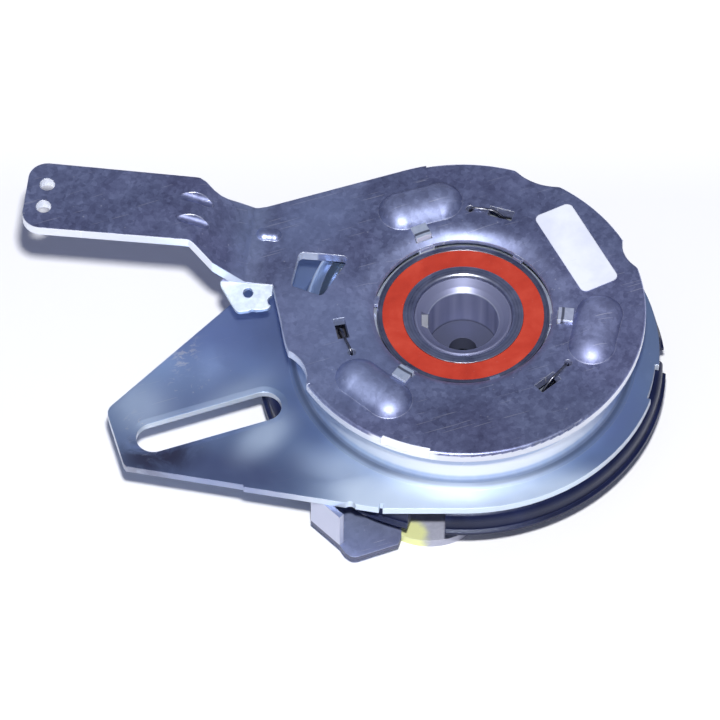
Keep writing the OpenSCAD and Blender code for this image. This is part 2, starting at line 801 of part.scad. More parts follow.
// Cup pressed round the bearing, its fingers folded over the lever plate
module bearing_cup() {
    rim_z = lever_bot - 2.2;
    reach = 5.5;
    lip_r = top_od / 2 - 3.2;
    step_z = lever_bot - run - finger_t;
    color(zinc_dark) {
        difference() {
            translate([0, 0, lip_bot]) cylinder(r = cup_out_r, h = rim_z - lip_bot);
            translate([0, 0, lip_bot + cup_sheet]) cylinder(r = cup_in_r, h = rim_z - lip_bot);
            translate([0, 0, lip_bot - over]) cylinder(r = lip_r, h = top_w);
        }
        for (i = [0:ramp_count - 1]) rotate([0, 0, finger_angle + third * i]) {
            translate([cup_out_r - finger_t, -finger_half, rim_z - 2])
                cube([finger_t, 2 * finger_half, step_z - rim_z + 2]);
            translate([cup_out_r - finger_t, -finger_half, step_z])
                cube([finger_r - cup_out_r + 2 * finger_t, 2 * finger_half, finger_t]);
            translate([finger_r, -finger_half, step_z])
                cube([finger_t, 2 * finger_half, lever_top + run - step_z]);
            translate([finger_r, -finger_half, lever_top + run]) cube([reach, 2 * finger_half, finger_t]);
        }
    }
}

module label() {
    corner = 2.4;
    color(paper)
        translate(concat(polar(lever_r - label_in, label_angle), [lever_top]))
            rotate([0, 0, -82.5])
                linear_extrude(0.2)
                    rounded_outline([for (x = [-1, 1], y = [-1, 1])
                        [x * (label_l / 2 - corner), y * (label_w / 2 - corner)]], corner);
}

// Ramp balls and return springs

module ramp_balls() {
    color(bright)
        for (i = [0:ramp_count - 1])
            rotate([0, 0, ramp_angle + third * i])
                translate([ramp_r, 0, ramp_ball_z]) sphere(d = ramp_ball_d, $fn = 48);
}

// Path of a return spring: fixed hook, coils, then the hook over the lever plate's bridge
function at(angle, z) = concat(polar(spring_r, angle), [z]);
function spring_path() =
    let (
        turns = 10,
        per_turn = 10,
        coil_r = (spring_d - spring_wire) / 2,
        p0 = polar(spring_r, anchor_angle + 11.8),
        p1 = polar(spring_r, hook_wide_angle - 11.5),
        along = unit(p1 - p0),
        out = [along[1], -along[0]],
        low_z = track_z + spring_wire / 2 + run,
        high_z = lever_top + spring_wire / 2 + run,
        a = anchor_angle,
        w = hook_wide_angle,
        e = hook_small_angle
    ) concat(
        [at(a, track_bot + 0.6), at(a, track_z - 0.4), at(a + 0.8, low_z), at(a + 3.8, low_z),
            at(window_from + 0.6, low_z - 0.3), at(window_from + 2.8, spring_z)],
        [for (i = [0:turns * per_turn]) let (
            f = i / (turns * per_turn), t = 360 * turns * f, p = p0 + (p1 - p0) * f,
            grow = min(1, min(i, turns * per_turn - i) / 5))
            [p[0] + grow * coil_r * sin(t) * out[0], p[1] + grow * coil_r * sin(t) * out[1],
                spring_z + grow * coil_r * cos(t)]],
        [at(w - 9.1, spring_z), at(w - 5.9, spring_z + 0.6), at(w - 2.5, lever_bot + 1),
            at(w + 0.9, lever_top - 0.6), at(w + 3.9, high_z), at(w + 7.5, high_z),
            at(e - 2, high_z), at(e - 0.2, lever_top - 0.5), at(e, lever_bot + 0.8)]);

module return_springs() {
    color(spring_steel)
        for (i = [0:ramp_count - 1])
            rotate([0, 0, third * i]) wire(spring_path(), spring_wire / 2, 6, [1, 0, 0]);
}

// Hub and what turns with it

module crank_hub() {
    journal = low_id / 2;
    seat_r = top_id / 2;
    rim_top = top_brg_z - 0.6;
    mouth_r = bore_d / 2 + bore_chamfer;
    dish_r = seat_r - 0.7;
    step_r = mouth_r + (dish_r - mouth_r) * 0.42;
    step_z = rim_top * 0.36;
    color(bright) difference() {
        union() {
            translate([0, 0, top_brg_bot]) cylinder(r = seat_r, h = rim_top - 0.4 - top_brg_bot);
            translate([0, 0, rim_top - 0.4]) cylinder(r1 = seat_r, r2 = seat_r - 0.4, h = 0.4);
            translate([0, 0, drive_top]) cylinder(r = shoulder_d / 2, h = top_brg_bot - drive_top);
            translate([0, 0, drive_bot]) cylinder(r = drive_seat_r, h = drive_t);
            translate([0, 0, hub_end]) cylinder(r = journal, h = drive_bot - hub_end);
        }
        // Bore, its chamfer, then the dished top in two slopes
        rotate_extrude()
            polygon([[0, -bore_depth], [bore_d / 2, -bore_depth], [bore_d / 2, -bore_chamfer], [mouth_r, 0],
                [step_r, step_z], [dish_r, rim_top], [dish_r, rim_top + over], [0, rim_top + over]]);
        translate([0, 0, -bore_depth - web_t - over]) cylinder(d = bolt_hole_d, h = web_t + 2 * over);
        translate([0, 0, hub_end - over])
            cylinder(d = bolt_recess_d, h = -bore_depth - web_t - hub_end + over);
        rotate([0, 0, key_angle])
            translate([bore_d / 2 - 2, -key_w / 2, -bore_depth])
                cube([key_h + 2, key_w, bore_depth + rim_top + over]);
        // Circlip groove
        ring(journal - groove_deep, journal + over, low_brg_bot - circlip_t - fit, low_brg_bot);
    }
}

module drive_disc() {
    color(zinc_dark) difference() {
        ring(drive_seat_r + fit, drive_r, drive_bot, drive_top);
        for (i = [0:5])
            rotate([0, 0, 60 * i])
                translate([(drive_seat_r + lining_in_r) / 2 + 0.5, 0, drive_bot - over])
                    cylinder(r = 2.5, h = drive_t + 2 * over);
    }
}

module drive_lining() {
    color(friction) difference() {
        ring(lining_in_r, drive_r, drive_top, lining_top);
        for (i = [0:5])
            rotate([0, 0, 30 + 60 * i])
                translate([lining_in_r - over, -0.9, drive_top + lining_t / 2])
                    cube([drive_r - lining_in_r + 2 * over, 1.8, lining_t]);
    }
}

module bearing_spacer() {
    color(bright) ring(low_id / 2 + fit, low_id / 2 + 3.5, low_brg_z, drive_bot);
}

// An open snap ring
module snap_ring(r_in, r_out, z0, at) {
    color(spring_steel) difference() {
        ring(r_in, r_out, z0, z0 + circlip_t);
        rotate([0, 0, at]) translate([0, -2, z0 - over]) cube([r_out + over, 4, circlip_t + 2 * over]);
    }
}

module hub_circlip() {
    snap_ring(low_id / 2 - groove_deep + fit, low_id / 2 - groove_deep + fit + circlip_h + 1,
        low_brg_bot - circlip_t - fit / 2, 40);
}

// Driven disc and its spring on the carrier's fingers

module driven_disc() {
    in_r = lining_in_r - 0.5;
    color(zinc_dark) difference() {
        ring(in_r, driven_r, driven_bot, driven_top);
        for (i = [0:fingers - 1])
            arc_block(drum_r - 0.35, drum_r + drum_t + 0.35, driven_bot - over, driven_top + over,
                360 / fingers * i, finger_w + 1.2);
    }
}

module wave_spring() {
    in_r = retainer_in_r + 1;
    out_r = drum_r - 1;
    t = 0.7;
    waves = 4;
    n = 72;
    mid = (driven_top + retainer_bot) / 2;
    swing = (wave_h - t) / 2 - 0.05;
    heights = [for (i = [0:n - 1]) mid + swing * cos(360 * waves * i / n)];
    points = [for (i = [0:n - 1]) for (c = [[in_r, -t / 2], [out_r, -t / 2], [out_r, t / 2], [in_r, t / 2]])
        concat(polar(c[0], 360 * i / n), [heights[i] + c[1]])];
    faces = [for (i = [0:n - 1]) for (k = [0:3]) let (j = (i + 1) % n, m = (k + 1) % 4)
        [4 * i + k, 4 * i + m, 4 * j + m, 4 * j + k]];
    color(spring_steel) polyhedron(points = points, faces = faces, convexity = 6);
}

module spring_retainer() {
    color(zinc_dark) difference() {
        ring(retainer_in_r, drum_r + drum_t + 1.5, retainer_bot, retainer_top);
        for (i = [0:fingers - 1])
            arc_block(drum_r - 0.1, drum_r + drum_t + 0.1, retainer_bot - over, retainer_top + over,
                360 / fingers * i, finger_w - 5);
    }
}

// Blade carrier: drum with fingers, bearing boss and two blade lobes

module carrier_outline() {
    circle(r = drum_r + drum_t + 2);
    for (i = [0, 1]) rotate([0, 0, lobe_angle + 180 * i]) {
        translate([lobe_at, 0]) circle(r = lobe_r);
        translate([0, -lobe_r]) square([lobe_at, 2 * lobe_r]);
    }
}

module blade_carrier() {
    drum_top = drive_bot - 2.5;
    gap_at = 180 / fingers;
    gap_w = 360 / fingers - finger_w;
    inside = 1;
    color(bright) difference() {
        union() {
            translate([0, 0, carrier_bot]) linear_extrude(carrier_t) carrier_outline();
            ring(drum_r, drum_r + drum_t, carrier_bot + inside, tip_z);
            ring(boss_in_r - 2.8, boss_r, carrier_bot + inside, low_brg_z + circlip_t + 1.2);
        }
        // Gaps between the fingers, wider above the shoulders that carry the retainer
        for (i = [0:fingers - 1]) rotate([0, 0, 360 / fingers * i]) {
            arc_block(drum_r - over, drum_r + drum_t + over, drum_top, tip_z + over, gap_at, gap_w);
            arc_block(drum_r - over, drum_r + drum_t + over, retainer_bot, tip_z + over, gap_at, gap_w + 5.6);
        }
        // Bearing seat, its lip and the groove of the snap ring
        translate([0, 0, low_brg_bot]) cylinder(r = boss_in_r, h = low_w + circlip_t + 3 * over);
        translate([0, 0, carrier_bot - over]) cylinder(r = boss_in_r - 2.8, h = carrier_t + low_w);
        ring(boss_in_r - over, boss_in_r + groove_deep, low_brg_z, low_brg_z + circlip_t + fit);
        for (i = [0, 1])
            rotate([0, 0, lobe_angle + 180 * i])
                translate([blade_hole_at, 0, carrier_bot - over])
                    cylinder(d = blade_hole_d, h = carrier_t + 2 * over);
        // Drain holes between boss and drum
        for (i = [0:3])
            rotate([0, 0, lobe_angle + 45 + 90 * i])
                translate([(boss_r + drum_r) / 2, 0, carrier_bot - over])
                    cylinder(r = 3, h = carrier_t + 2 * over);
    }
}

module carrier_circlip() {
    r_out = boss_in_r + groove_deep - fit;
    snap_ring(r_out - circlip_h, r_out, low_brg_z + fit / 2, 130);
}

// Bearings in place

module upper_bearing_outer_ring() {
    color(bright) outer_ring(top_id, top_od, top_w, top_ball_d, top_brg_bot);
}
module upper_bearing_inner_ring() {
    color(bright) inner_ring(top_id, top_od, top_w, top_ball_d, top_brg_bot, 1.7);
}
module upper_bearing_balls() {
    color(bright) ball_set(top_id, top_od, top_w, top_ball_d, top_ball_count, top_brg_bot);
}
module upper_bearing_cage() {
    color(zinc_dark) ball_cage(top_id, top_od, top_w, top_ball_d, top_ball_count, top_brg_bot);
}
module upper_bearing_seal_top() {
    color(seal_red) bearing_seal(top_id, top_od, top_ball_d, top_brg_z - seal_sunk - seal_t);
}
module upper_bearing_seal_bottom() {
    color(seal_red) bearing_seal(top_id, top_od, top_ball_d, top_brg_bot + seal_sunk);
}
module lower_bearing_outer_ring() {
    color(bright) outer_ring(low_id, low_od, low_w, low_ball_d, low_brg_bot);
}
module lower_bearing_inner_ring() {
    color(bright) inner_ring(low_id, low_od, low_w, low_ball_d, low_brg_bot, 0.8);
}
module lower_bearing_balls() {
    color(bright) ball_set(low_id, low_od, low_w, low_ball_d, low_ball_count, low_brg_bot);
}
module lower_bearing_cage() {
    color(zinc_dark) ball_cage(low_id, low_od, low_w, low_ball_d, low_ball_count, low_brg_bot);
}
module lower_bearing_seal_top() {
    color(black) bearing_seal(low_id, low_od, low_ball_d, low_brg_z - seal_sunk - seal_t);
}
module lower_bearing_seal_bottom() {
    color(black) bearing_seal(low_id, low_od, low_ball_d, low_brg_bot + seal_sunk);
}

torque_plate();
brake_plate();
brake_pads();
guard_segments();
side_bracket();
lever_plate();
bearing_cup();
label();
upper_bearing_outer_ring();
upper_bearing_inner_ring();
upper_bearing_balls();
upper_bearing_cage();
upper_bearing_seal_top();
upper_bearing_seal_bottom();
ramp_balls();
return_springs();
crank_hub();
drive_disc();
drive_lining();
bearing_spacer();
hub_circlip();
driven_disc();
wave_spring();
spring_retainer();
blade_carrier();
carrier_circlip();
lower_bearing_outer_ring();
lower_bearing_inner_ring();
lower_bearing_balls();
lower_bearing_cage();
lower_bearing_seal_top();
lower_bearing_seal_bottom();
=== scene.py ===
import math

import bpy
from mathutils import Matrix, Vector


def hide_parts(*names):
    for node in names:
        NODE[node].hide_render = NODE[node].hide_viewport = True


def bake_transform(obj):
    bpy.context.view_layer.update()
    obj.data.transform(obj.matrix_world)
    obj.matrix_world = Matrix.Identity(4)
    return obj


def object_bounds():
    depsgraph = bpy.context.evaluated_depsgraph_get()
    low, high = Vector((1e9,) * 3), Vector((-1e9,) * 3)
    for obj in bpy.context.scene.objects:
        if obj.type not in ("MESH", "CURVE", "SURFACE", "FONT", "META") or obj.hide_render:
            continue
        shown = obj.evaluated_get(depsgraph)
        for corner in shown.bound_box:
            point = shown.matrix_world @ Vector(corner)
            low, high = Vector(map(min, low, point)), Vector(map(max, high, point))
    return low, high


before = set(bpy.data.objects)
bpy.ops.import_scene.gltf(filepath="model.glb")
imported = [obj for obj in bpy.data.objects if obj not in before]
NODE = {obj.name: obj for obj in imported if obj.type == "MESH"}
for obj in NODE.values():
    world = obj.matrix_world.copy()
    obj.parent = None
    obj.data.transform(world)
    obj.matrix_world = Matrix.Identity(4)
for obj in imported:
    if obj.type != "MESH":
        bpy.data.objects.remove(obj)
cad_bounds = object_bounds()

MM = 0.001

# The photo's view: direction in plan, angle down, and metres in a pixel
LOOK = math.radians(70.5)
DOWN = math.radians(53.4)
PIXEL = 0.3588 * MM

# Pixels across the photo, and the one that shows the axis at a height of AXIS_Z millimetres
PHOTO = 720
AXIS_PIXEL, AXIS_Z = (463.2, 315.0), 3.75

# Directions in plan, fixed to the part: along the raised arm, to the front in the photo, and to its right
ARM = math.radians(153.7)
FRONT = math.radians(250.5)
RIGHT = math.radians(-19.5)

# Measures of the part in millimetres, angles in degrees: first dome's middle, fold of the cup's fingers, bore,
# distance between a seal's rings, and heights of the ball track, the lever plate's faces and the bracket's ear
DOME_AT, DOME_ANGLE = 48.3, 88.8
CREASE_R = 35.6
BORE_R = 12.7
RING_GAP = 1.55
TRACK_TOP, LEVER_BOT, LEVER_TOP = 0.05, 4.2, 8.2
EAR_TOP = min(corner[2] for corner in NODE["side_bracket"].bound_box) / MM + 2.0

# Paint mark on a lobe of the carrier: its middle, and its width as a share of its height
MARK_AT, MARK_SHARE = (-39.5, -54.5, -42.3), 0.4

# Return springs: wire, outer diameter and number of the coils, points in one coil, radius of the route, and the
# angles along it of the anchor in the torque plate, of both ends of the coils and of both ends of the hook
WIRE, COIL, COILS, PER_COIL = 1.0, 5.6, 10, 20
SPRING_R = 44.7
ANCHOR, COIL_FROM, COIL_TO, HOOK, HOOK_END = 5.2, 17.0, 41.0, 52.5, 67.0


# Material building


class Nodes:
    """A node tree, with short calls for what goes into it."""

    def __init__(self, tree, coordinates):
        self.tree = tree
        self.place = self.add("ShaderNodeTexCoord").outputs[coordinates]

    def add(self, kind, **settings):
        node = self.tree.nodes.new(kind)
        for key, value in settings.items():
            setattr(node, key, value)
        return node

    def put(self, socket, value):
        if isinstance(value, bpy.types.NodeSocket):
            self.tree.links.new(value, socket)
        elif value is not None:
            socket.default_value = value

    def color(self, value):
        if isinstance(value, tuple) and len(value) == 3:
            return value + (1.0,)
        return value

    def math(self, kind, a, b=None):
        node = self.add("ShaderNodeMath", operation=kind)
        self.put(node.inputs[0], a)
        self.put(node.inputs[1], b)
        return node.outputs[0]

    def times(self, a, b):
        return self.math("MULTIPLY", a, b)

    def plus(self, a, b):
        return self.math("ADD", a, b)

    def minus(self, a, b):
        return self.math("SUBTRACT", a, b)

    def most(self, a, b):
        return self.math("MAXIMUM", a, b)

    def mapped(self, scale=(1, 1, 1), turn=(0, 0, 0), shift=(0, 0, 0)):
        node = self.add("ShaderNodeMapping")
        self.put(node.inputs["Vector"], self.place)
        node.inputs["Scale"].default_value = scale
        node.inputs["Rotation"].default_value = turn
        node.inputs["Location"].default_value = shift
        return node.outputs[0]

    def noise(self, scale, detail, rough=0.5, bend=0.0, place=None):
        node = self.add("ShaderNodeTexNoise")
        self.put(node.inputs["Vector"], place or self.place)
        node.inputs["Scale"].default_value = scale
        node.inputs["Detail"].default_value = detail
        node.inputs["Roughness"].default_value = rough
        node.inputs["Distortion"].default_value = bend
        return node.outputs["Fac"]

    def cells(self, scale):
        node = self.add("ShaderNodeTexVoronoi")
        self.put(node.inputs["Vector"], self.place)
        node.inputs["Scale"].default_value = scale
        return node.outputs

    def step(self, value, low, high, to_low=0.0, to_high=1.0):
        """Soft step between two values; low may be the greater one."""
        node = self.add("ShaderNodeMapRange", interpolation_type="SMOOTHSTEP")
        self.put(node.inputs["Value"], value)
        node.inputs["From Min"].default_value = low
        node.inputs["From Max"].default_value = high
        node.inputs["To Min"].default_value = to_low
        node.inputs["To Max"].default_value = to_high
        return node.outputs["Result"]

    def past(self, value, start, full):
        """Zero up to start and one from full on, or the other way round, in millimetres."""
        return self.step(value, start * MM, full * MM)

    def band(self, value, start, full, full_end, end):
        """One between the middle two of four measures in millimetres, and zero outside the other two."""
        return self.times(self.past(value, start, full), self.past(value, end, full_end))

    def ramp(self, value, stops):
        node = self.add("ShaderNodeValToRGB")
        self.put(node.inputs["Fac"], value)
        band = node.color_ramp
        while len(band.elements) < len(stops):
            band.elements.new(0.5)
        for element, (at, color) in zip(band.elements, stops):
            element.position = at
            element.color = self.color(color)
        return node.outputs["Color"]

    def mix(self, amount, a, b, kind="MIX"):
        node = self.add("ShaderNodeMix", data_type="RGBA", blend_type=kind)
        self.put(node.inputs["Factor"], amount)
        self.put(node.inputs[6], self.color(a))
        self.put(node.inputs[7], self.color(b))
        return node.outputs[2]

    def bump(self, height, strength, depth, normal=None):
        node = self.add("ShaderNodeBump")
        node.inputs["Strength"].default_value = strength
        node.inputs["Distance"].default_value = depth
        self.put(node.inputs["Height"], height)
        self.put(node.inputs["Normal"], normal)
        return node.outputs["Normal"]

    def lean(self, amount, a, b):
        """Mix of two vectors."""
        node = self.add("ShaderNodeMix", data_type="VECTOR")
        self.put(node.inputs["Factor"], amount)
        self.put(node.inputs[4], a)
        self.put(node.inputs[5], b)
        return node.outputs[1]

    def rounded(self, radius):
        """Normal with edges rounded to a radius, and where those edges are."""
        bevel = self.add("ShaderNodeBevel", samples=4)
        bevel.inputs["Radius"].default_value = radius
        true = self.add("ShaderNodeNewGeometry").outputs["True Normal"]
        dot = self.add("ShaderNodeVectorMath", operation="DOT_PRODUCT")
        self.put(dot.inputs[0], bevel.outputs[0])
        self.put(dot.inputs[1], true)
        edge = self.step(dot.outputs["Value"], 0.99, 0.8)
        return bevel.outputs[0], edge

    def split(self, vector=None):
        """The three parts of a vector, or of the place."""
        node = self.add("ShaderNodeSeparateXYZ")
        self.put(node.inputs[0], vector or self.place)
        return node.outputs

    def sheared(self):
        """Where the surface stands upright, as the cut edge of a sheet does."""
        true = self.add("ShaderNodeNewGeometry").outputs["True Normal"]
        local = self.add("ShaderNodeVectorTransform", vector_type="NORMAL",
                         convert_from="WORLD", convert_to="OBJECT")
        self.put(local.inputs[0], true)
        return self.step(self.math("ABSOLUTE", self.split(local.outputs[0])[2]), 0.35, 0.12)

    def towards(self, angle, x, y):
        """How far a point of the plan lies in one direction from the origin."""
        return self.plus(self.times(x, math.cos(angle)), self.times(y, math.sin(angle)))

    def length(self, x, y):
        """Length of a vector in the plan."""
        return self.math("SQRT", self.plus(self.times(x, x), self.times(y, y)))

    def radius(self):
        """Distance from the crankshaft's axis."""
        x, y, _ = self.split()
        return self.length(x, y)

    def spot(self, x, y, inner, outer, stretch, turn):
        """Soft round or stretched area about a point of the plan, in millimetres."""
        angle = math.radians(turn)
        px, py, _ = self.split()
        dx, dy = self.minus(px, x * MM), self.minus(py, y * MM)
        along = self.times(self.towards(angle, dx, dy), 1 / stretch)
        across = self.towards(angle + math.pi / 2, dx, dy)
        return self.step(self.length(along, across), outer * MM, inner * MM)

    def spots(self, *places):
        """Strongest of several soft areas, each given as spot takes it with its weight added."""
        strongest = 0.0
        for *place, weight in places:
            strongest = self.most(strongest, self.times(self.spot(*place), weight))
        return strongest

    def scratches(self, turn, scale, thin, level):
        """Thin straight marks along one direction."""
        place = self.mapped(scale=(1.0, thin, 1.0), turn=(0, 0, math.radians(turn)))
        return self.step(self.noise(scale, 1.5, 0.4, 0.3, place), level, level + 0.03)


class Material(Nodes):
    """A node material on the object's own coordinates, which are those of the row frame."""

    def __init__(self, name, metallic=0.0):
        self.data = bpy.data.materials.new(name)
        self.data.use_nodes = True
        super().__init__(self.data.node_tree, "Object")
        self.bsdf = self.tree.nodes["Principled BSDF"]
        self.bsdf.inputs["Metallic"].default_value = metallic

    def metal(self, amount, plain, dulled):
        """Metallic, from its plain value to a dulled one as the amount goes from zero to one."""
        self.put(self.bsdf.inputs["Metallic"], self.step(amount, 0.0, 1.0, plain, dulled))

    def finish(self, color, roughness, normal):
        self.put(self.bsdf.inputs["Base Color"], color)
        self.put(self.bsdf.inputs["Roughness"], roughness)
        self.put(self.bsdf.inputs["Normal"], normal)
        return self.data


def dress(names, material):
    """Put one material in every slot of the named pieces."""
    for name in names:
        slots = NODE[name].data.materials
        if not slots:
            slots.append(material)
        for index in range(len(slots)):
            slots[index] = material


def plated(name, dark, mid, light, grain, rough, metallic=0.85, edge_highlight_color=(0.90, 0.93, 0.98),
           cut_face_color_and_highlight=(0.80, 0.85, 0.95), cut_from=None, marks=1.0):
    """Zinc plated sheet: cloudy, finely mottled, with flecks and scratches, a painted highlight along rounded
    edges, and cut edges in a colour of their own that is partly a painted highlight.
    """
    m = Material(name)
    clouds = m.noise(38.0, 4.0, 0.55, 0.6)
    blotch = m.noise(210.0, 5.0, 0.62, 0.4)
    fine = m.noise(1500.0, 3.0, 0.6)
    spangle = m.add("ShaderNodeRGBToBW")
    m.put(spangle.inputs[0], m.cells(620.0)["Color"])
    tone = m.plus(m.times(clouds, 0.42), m.times(blotch, 0.34 * grain))
    tone = m.plus(tone, m.times(fine, 0.16 * grain))
    tone = m.plus(tone, m.times(spangle.outputs[0], 0.16 * grain))
    base = m.ramp(tone, [(0.34, dark), (0.52, mid), (0.72, light)])
    warm = m.step(m.noise(24.0, 2.0, 0.5, 0.2, m.mapped(shift=(0.31, 0.17, 0.0))), 0.42, 0.64)
    base = m.mix(m.times(warm, 0.35), base, (1.0, 0.88, 0.97), "MULTIPLY")
    flecks = m.step(m.cells(330.0)["Distance"], 0.13, 0.06)
    flecks = m.times(flecks, m.step(m.noise(90.0, 2.0), 0.52, 0.66))
    lines = m.most(m.scratches(22, 60.0, 34.0, 0.735), m.scratches(-41, 48.0, 40.0, 0.74))
    lines = m.times(m.most(lines, m.scratches(78, 55.0, 46.0, 0.75)), marks)
    bright = m.times(m.most(flecks, lines), 0.5)
    base = m.mix(bright, base, (0.88, 0.90, 0.95))
    # Painted highlight along the rounded edges, broken up by noise
    normal, edge = m.rounded(0.45 * MM)
    ragged = m.step(m.noise(700.0, 3.0, 0.6), 0.25, 0.55)
    base = m.mix(m.times(edge, m.times(ragged, 0.85)), base, edge_highlight_color)
    # Cut faces take their own colour, lightened in part as a painted highlight, and are less metallic
    sheared = m.sheared()
    # Cut edges nearer to the axis than cut_from stay as they are
    if cut_from:
        sheared = m.times(sheared, m.past(m.radius(), cut_from - 1, cut_from))
    base = m.mix(m.times(sheared, 0.85), base, cut_face_color_and_highlight)
    m.metal(sheared, metallic, 0.5 * metallic)
    shine = m.plus(m.times(tone, 0.30), rough - 0.15)
    shine = m.minus(shine, m.times(lines, 0.06))
    height = m.plus(m.times(blotch, 0.6), m.times(fine, 0.25))
    height = m.minus(height, m.times(lines, 0.35))
    return m, base, shine, m.bump(height, 0.16 * grain, 0.25 * MM, normal)


def lever_material():
    """Dark bluish zinc with painted highlights on the tab, the arm's bend, a step in the rim and the pressed
    forms, painted reflections and painted shade, and dull pressed forms.
    """
    m, base, shine, normal = plated(
        "lever_zinc", (0.15, 0.165, 0.29), (0.26, 0.295, 0.48), (0.42, 0.48, 0.72), grain=0.95, rough=0.42,
        cut_face_color_and_highlight=(0.92, 0.95, 1.0), cut_from=58)
    x, y, z = m.split()
    r = m.radius()
    along, across = m.towards(ARM, x, y), m.towards(ARM + math.pi / 2, x, y)
    # Painted highlight on the tab, and on the arm where it bends
    tab = m.times(m.past(across, -2.2, -1.6), m.past(along, 68.5, 69.2))
    bright = m.ramp(m.noise(500.0, 4.0, 0.6), [(0.3, (0.52, 0.58, 0.66)), (0.7, (0.72, 0.80, 0.88))])
    base = m.mix(tab, base, bright)
    base = m.mix(m.times(m.band(along, 70, 78, 80, 88), 0.35), base, (0.55, 0.66, 0.90))
    # Painted reflections as broad light passages, and painted shade toward the front
    light = m.spots((-50, 2, 8, 34, 1.5, 100, 0.42), (-38, 54, 4, 18, 1.6, 20, 0.42))
    base = m.mix(m.times(light, m.past(along, 74, 66)), base, (0.46, 0.56, 0.86))
    base = m.mix(m.spots((0, -58, 6, 24, 2.6, 160, 0.2)), base, (0.12, 0.13, 0.21))
    # Painted highlight where the rim steps in, left of the front
    rim_step_highlight = m.times(m.spot(-42, -51, 9, 12, 1.2, 145), m.past(r, 61.5, 62.0))
    rim_step_highlight = m.times(rim_step_highlight, m.past(z, LEVER_TOP - 0.1, LEVER_TOP - 0.3))
    base = m.mix(m.times(rim_step_highlight, 0.9), base, (0.93, 0.96, 1.0))
    # Pressed forms, the dish and the domes, are stretched, so their surface is duller; their paler colour is a
    # painted highlight
    pressed = m.past(r, 41, 34)
    places = []
    for turn in (DOME_ANGLE, DOME_ANGLE + 120, DOME_ANGLE + 240):
        angle = math.radians(turn)
        middle = (DOME_AT * math.cos(angle), DOME_AT * math.sin(angle))
        places.append((*middle, 6.0, 8.8, 1.85, turn + 90, 1.0))
    domes = m.spots(*places)
    base = m.mix(m.times(pressed, 0.18), base, (0.42, 0.48, 0.68))
    base = m.mix(m.times(domes, 0.14), base, (0.50, 0.56, 0.76))
    shine = m.plus(shine, m.times(pressed, 0.09))
    shine = m.plus(shine, m.times(domes, 0.16))
    # Less metallic on cut edges and at the painted highlight where the rim steps in
    m.metal(m.most(m.sheared(), m.times(rim_step_highlight, 1.4)), 0.85, 0.42)
    smooth, _ = m.rounded(0.45 * MM)
    return m.finish(base, shine, m.lean(m.most(pressed, domes), normal, smooth))


def torque_material():
    """Bright zinc with painted light and dark reflections, painted shade and a painted highlight on the drawn
    wall, a stained arm end and rubbed marks.
    """
    m, base, shine, normal = plated(
        "torque_zinc", (0.40, 0.55, 0.80), (0.54, 0.70, 0.95), (0.68, 0.82, 1.0), grain=0.26, rough=0.44,
        metallic=0.9, cut_face_color_and_highlight=(0.66, 0.70, 0.76), marks=0.6)
    sway = m.noise(26.0, 3.0, 0.55, 0.4)
    x, y, z = m.split()
    ahead, aside = m.towards(FRONT, x, y), m.towards(RIGHT, x, y)
    # Painted dark reflections, in broad passages
    dark = m.spots((-66, 33, 4, 20, 1.6, 60, 0.5), (-101, -24, 5, 20, 2.3, 155, 0.92),
                   (-62, -10, 2, 14, 1.6, 120, 0.3), (-48, 22, 2, 12, 1.5, 90, 0.2))
    dark = m.times(dark, m.step(sway, 0.25, 0.6, 0.6, 1.0))
    base = m.mix(dark, base, (0.21, 0.26, 0.46))
    # Painted reflections as pale, less metallic passages, and a painted highlight on the flange's front
    pale = m.spots((-80, -13, 1, 12, 1.9, 28, 0.6), (-58, -38, 2, 16, 1.8, 130, 0.6),
                   (-118, 14, 2, 18, 1.2, 100, 0.45), (-86, 6, 2, 10, 3.0, 18, 0.35),
                   (-56, -2, 2, 10, 1.8, 75, 0.3))
    flange = m.times(m.past(ahead, 46, 64), m.past(z, -13.5, -15.5))
    flange = m.times(flange, m.past(aside, -64, -36))
    pale = m.times(m.most(pale, flange), m.step(sway, 0.2, 0.6, 0.72, 1.0))
    base = m.mix(pale, base, (0.72, 0.84, 0.97))
    m.metal(m.most(pale, m.sheared()), 0.92, 0.42)
    # Drawn wall: painted shade under the lever plate and where it meets the flange, a painted highlight between
    # them on the front
    wall = m.band(m.radius(), 56.0, 57.5, 64.0, 65.5)
    foot = m.band(z, -16.2, -15.2, -14.0, -12.5)
    shadow = m.most(m.times(foot, 0.55), m.times(m.past(z, -5.2, -2.2), 0.6))
    base = m.mix(m.times(wall, shadow), base, (0.13, 0.16, 0.26))
    wall_highlight = m.times(m.times(wall, m.band(z, -12.2, -10.8, -7.2, -6.2)), m.past(ahead, 20, 50))
    base = m.mix(m.times(wall_highlight, 0.7), base, (0.95, 0.97, 1.0))
    # Stained arm end
    stain = m.times(m.spot(-119, -8, 3, 13, 1.7, 170), m.step(m.noise(70.0, 5.0, 0.6, 0.8), 0.30, 0.55))
    base = m.mix(m.times(stain, 0.85), base, (0.075, 0.07, 0.12))
    # Rubbed marks above the slot and at the arm's end
    wear = m.noise(330.0, 4.0, 0.65, 0.5, m.mapped(scale=(1.0, 2.2, 1.0), turn=(0, 0, math.radians(-38))))
    rub = m.times(m.spot(-95, 31, 1, 6.5, 2.0, 52), m.step(wear, 0.50, 0.60))
    rub = m.most(rub, m.times(m.spot(-97, 18, 2, 10, 1.2, 20), m.step(wear, 0.60, 0.66)))
    rub = m.most(rub, m.times(m.spot(-121, 2, 1, 9, 1.6, 100), m.step(wear, 0.57, 0.63)))
    base = m.mix(m.times(rub, 0.8), base, (0.86, 0.89, 0.95))
    return m.finish(base, shine, normal)


